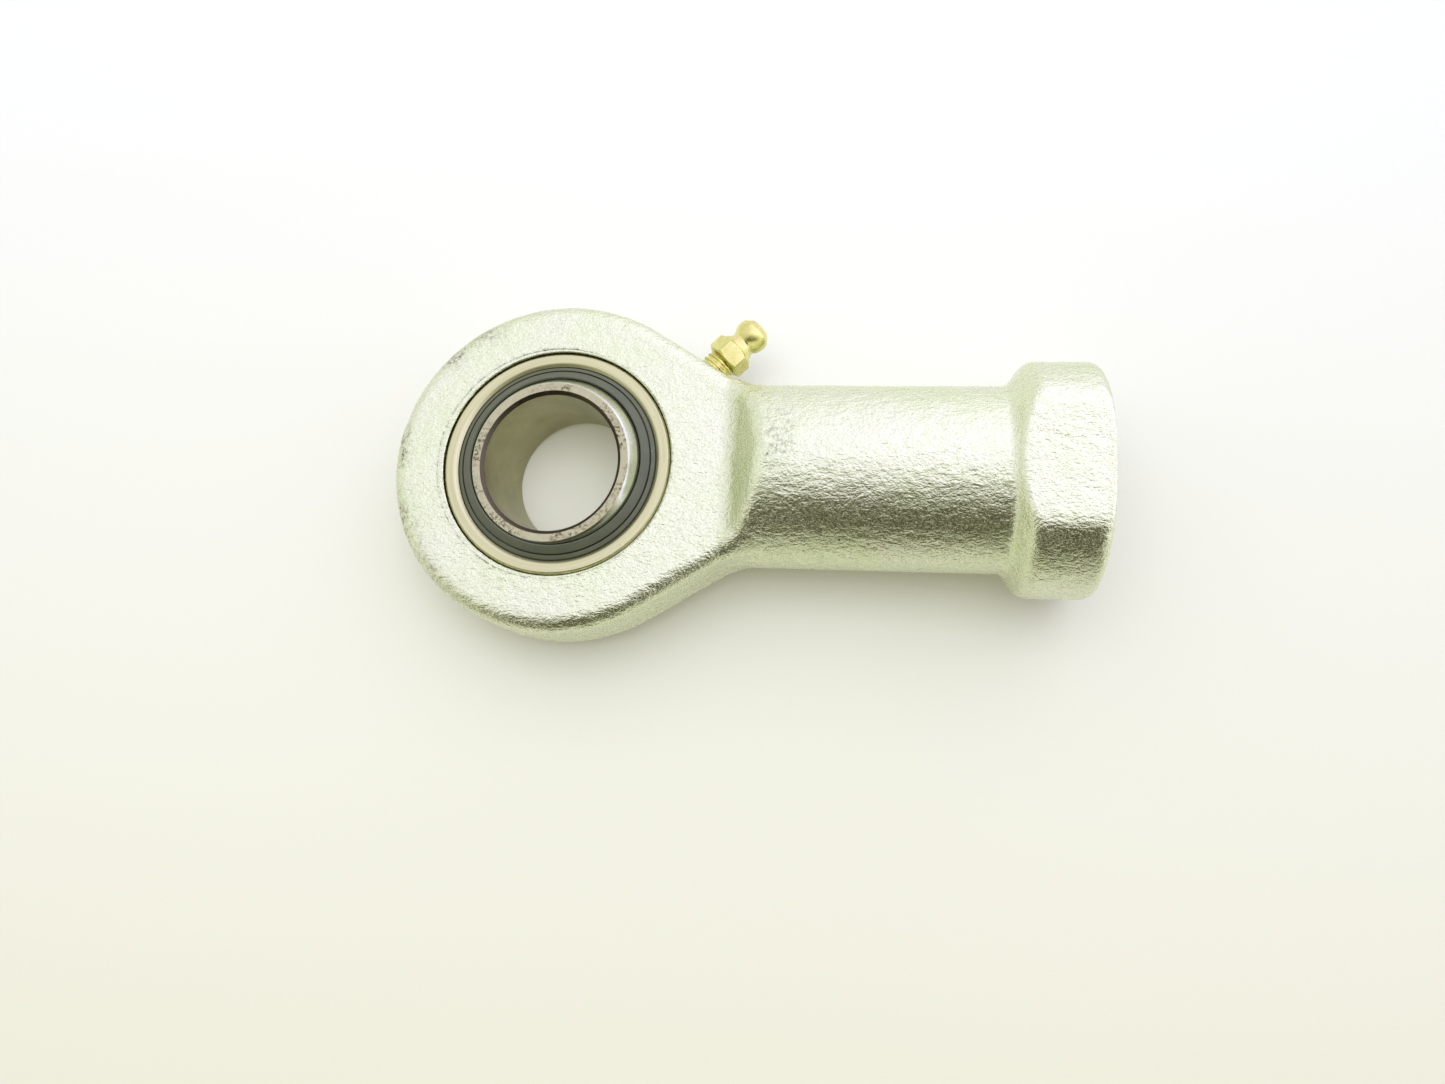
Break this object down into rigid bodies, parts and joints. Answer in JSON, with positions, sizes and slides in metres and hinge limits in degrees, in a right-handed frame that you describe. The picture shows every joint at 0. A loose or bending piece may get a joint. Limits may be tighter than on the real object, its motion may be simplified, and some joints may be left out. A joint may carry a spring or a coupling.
{
  "type": "rod end bearing",
  "caption": "Forged rod end with an internally threaded shank, a sealed spherical plain bearing in its eye and a grease nipple on its shoulder.",
  "frame": {"origin": "centre of the open end face of the threaded shank, where the rod that holds the part enters; the bearing's centre is 95 mm behind it on the same axis", "axes": "+X along the shank, out of its threaded socket; +Z along the axis of the eye, with the eye's front face up; +Y towards the grease nipple's side"},
  "size_m": [0.126, 0.062, 0.0372],
  "materials": {
    "zinc_plated_forging": "bright zinc plate over a forged, finely pitted skin, pale greenish silver, satin",
    "outer_ring_steel": "fine turned bearing steel, warm grey, semi-gloss",
    "inner_ring_steel": "ground and phosphated bearing steel with specks of surface rust, semi-gloss",
    "seal_rubber": "dark grey-green moulded polyurethane, satin",
    "yellow_passivated_steel": "yellow passivated zinc, turned, semi-gloss",
    "spring_wire": "drawn spring wire",
    "check_ball_steel": "polished"
  },
  "bodies": {
    "housing": {"housing": "zinc_plated_forging", "outer_ring": "outer_ring_steel", "nipple_body": "yellow_passivated_steel", "nipple_spring": "spring_wire"},
    "seals": {"front_seal": "seal_rubber", "back_seal": "seal_rubber"},
    "ball": {"inner_ring": "inner_ring_steel"},
    "check_ball": {"nipple_check_ball": "check_ball_steel"}
  },
  "joints": [
    {"name": "ball_spin", "type": "hinge", "parent": "housing", "child": "seals", "pos_m": [-0.095, 0, 0], "axis": [0, 0, 1], "continuous": true},
    {"name": "ball_tilt", "type": "hinge", "parent": "seals", "child": "ball", "pos_m": [-0.095, 0, 0], "axis": [0.745, -0.667, 0], "range_deg": [-12.2, 1.8]},
    {"name": "check_ball_slide", "type": "slide", "parent": "housing", "child": "check_ball", "axis": [-0.7071, -0.7071, 0], "range_m": [0, 0.001], "stiffness_N_per_m": 300, "springref_m": -0.001, "deforming": ["nipple_spring"]}
  ]
}
